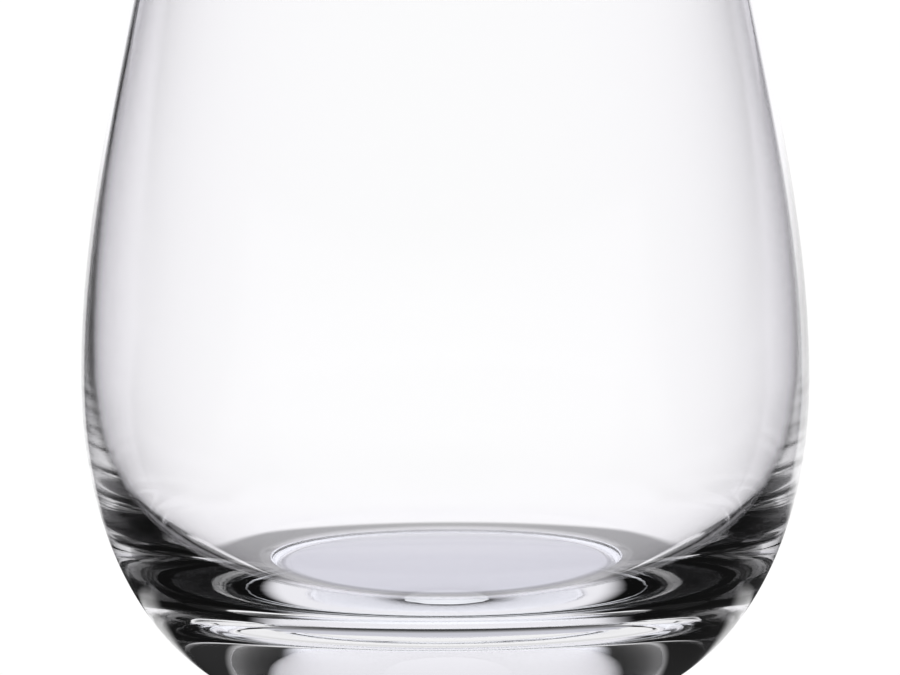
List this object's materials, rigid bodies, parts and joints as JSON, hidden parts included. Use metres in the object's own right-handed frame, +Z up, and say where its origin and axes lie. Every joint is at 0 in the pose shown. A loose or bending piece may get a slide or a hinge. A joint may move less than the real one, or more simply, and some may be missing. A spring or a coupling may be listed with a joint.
{
  "type": "water glass",
  "caption": "Clear stemless water glass: thin rounded bowl narrowing to a fire-polished rim, fused to a heavy solid base with a shallow flat hollow in its underside and a flat standing ring.",
  "frame": {"origin": "centre of the flat standing ring, on the table plane and on the glass's axis", "axes": "+Z up along the axis of revolution to the rim; X and Y are alike, and -Y faces the picture's camera"},
  "size_m": [0.09, 0.09, 0.105],
  "materials": {
    "clear_glass": "clear, colourless, fire-polished"
  },
  "bodies": {
    "root": {"bowl": "clear_glass", "base": "clear_glass"}
  },
  "joints": []
}
